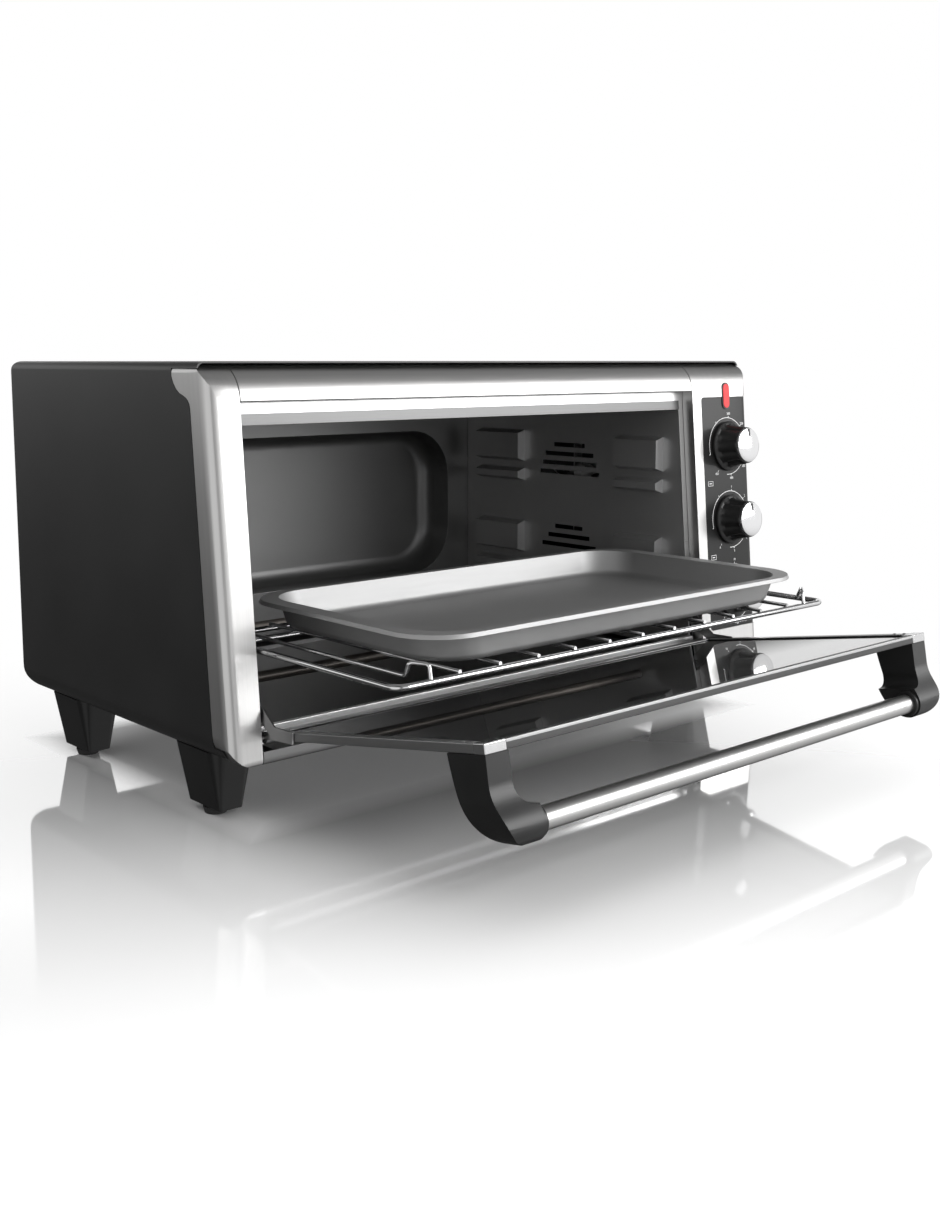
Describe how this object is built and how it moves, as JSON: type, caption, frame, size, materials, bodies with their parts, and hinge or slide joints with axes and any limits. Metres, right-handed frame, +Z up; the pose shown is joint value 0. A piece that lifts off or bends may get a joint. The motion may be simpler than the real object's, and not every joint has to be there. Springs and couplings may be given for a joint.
{
  "type": "toaster oven",
  "caption": "Wide countertop toaster oven with drop-down glass door, rack and pan drawn out, stainless front and dial column.",
  "frame": {"origin": "bottom centre of the whole object's box with the door open, on the table under the feet", "axes": "+X to the user's right along the front, -Y out of the front towards the user, +Z up"},
  "size_m": [0.546, 0.5742, 0.304],
  "materials": {
    "black_painted_steel": "satin powder coat",
    "stainless_trim": "brushed, lengthwise grain",
    "cavity_steel": "dark satin coated steel",
    "zinc_steel": "zinc plated, matt",
    "rack_chrome": "bright plated wire",
    "knob_chrome": "bright plated",
    "black_plastic": "fine matt texture",
    "control_panel_grey": "glossy with white printed marks",
    "indicator_red": "clear red lens",
    "lamp_glass": "clear bulb",
    "tinted_glass": "tinted and polished",
    "pan_grey": "satin grey bakeware",
    "foot_rubber": "matt",
    "element_sheath": "heat-dulled steel sheath"
  },
  "bodies": {
    "oven": {"base_plate": "zinc_steel", "cavity_back": "cavity_steel", "cavity_ceiling": "cavity_steel", "cavity_left_wall": "cavity_steel", "cavity_right_wall": "cavity_steel", "control_bezel": "stainless_trim", "control_panel": "control_panel_grey", "cord_gland": "black_plastic", "door_spring_left": "zinc_steel", "door_spring_right": "zinc_steel", "fan_motor": "zinc_steel", "foot_front_left": "black_plastic", "foot_front_right": "black_plastic", "foot_pad_front_left": "foot_rubber", "foot_pad_front_right": "foot_rubber", "foot_pad_rear_left": "foot_rubber", "foot_pad_rear_right": "foot_rubber", "foot_rear_left": "black_plastic", "foot_rear_right": "black_plastic", "front_frame": "cavity_steel", "header_trim": "stainless_trim", "hinge_pin_left": "zinc_steel", "hinge_pin_right": "zinc_steel", "indicator_lamp": "lamp_glass", "indicator_lens": "indicator_red", "left_end_trim": "stainless_trim", "lower_element_back": "element_sheath", "lower_element_front": "element_sheath", "outer_case": "black_painted_steel", "rear_cover": "black_painted_steel", "selector_switch": "black_plastic", "sill_strip": "stainless_trim", "thermostat": "zinc_steel", "timer": "zinc_steel", "timer_bell": "zinc_steel", "upper_element_back": "element_sheath", "upper_element_front": "element_sheath"},
    "door": {"door_arm_left": "zinc_steel", "door_arm_right": "zinc_steel", "door_bottom_rail": "stainless_trim", "door_glass": "tinted_glass", "door_left_rail": "stainless_trim", "door_right_rail": "stainless_trim", "door_top_rail": "stainless_trim", "handle_bar": "stainless_trim", "handle_bracket_left": "black_plastic", "handle_bracket_right": "black_plastic"},
    "rack": {"wire_rack": "rack_chrome", "baking_pan": "pan_grey"},
    "tray": {"crumb_tray": "stainless_trim"},
    "fan": {"fan_blade": "zinc_steel"},
    "temperature_control": {"temperature_knob": "black_plastic", "temperature_knob_face": "knob_chrome", "temperature_shaft": "zinc_steel"},
    "function_control": {"function_knob": "black_plastic", "function_knob_face": "knob_chrome", "function_shaft": "zinc_steel"},
    "timer_control": {"timer_knob": "black_plastic", "timer_knob_face": "knob_chrome", "timer_shaft": "zinc_steel"}
  },
  "joints": [
    {"name": "door_hinge", "type": "hinge", "parent": "oven", "child": "door", "pos_m": [0, -0.06015, 0.0645], "axis": [-1, 0, 0], "range_deg": [0, 84.9], "deforming": ["door_spring_left", "door_spring_right"]},
    {"name": "rack_slide", "type": "slide", "parent": "oven", "child": "rack", "axis": [0, 1, 0], "range_m": [0, 0.2143]},
    {"name": "tray_slide", "type": "slide", "parent": "oven", "child": "tray", "axis": [0, -1, 0], "range_m": [0, 0.17]},
    {"name": "fan_spin", "type": "hinge", "parent": "oven", "child": "fan", "pos_m": [0.2, 0.09415, 0.1875], "axis": [1, 0, 0], "continuous": true},
    {"name": "temperature_turn", "type": "hinge", "parent": "oven", "child": "temperature_control", "pos_m": [0.241, -0.04928, 0.23065], "axis": [0, 0.9968, -0.0802], "range_deg": [0, 300]},
    {"name": "function_turn", "type": "hinge", "parent": "oven", "child": "function_control", "pos_m": [0.241, -0.05439, 0.16715], "axis": [0, 0.9968, -0.0802], "range_deg": [0, 240]},
    {"name": "timer_turn", "type": "hinge", "parent": "oven", "child": "timer_control", "pos_m": [0.241, -0.0595, 0.10365], "axis": [0, 0.9968, -0.0802], "range_deg": [0, 300]}
  ],
  "couplings": [
    {"joint": "rack_slide", "follows": "door_hinge", "m_per_rad": 0.1445}
  ]
}
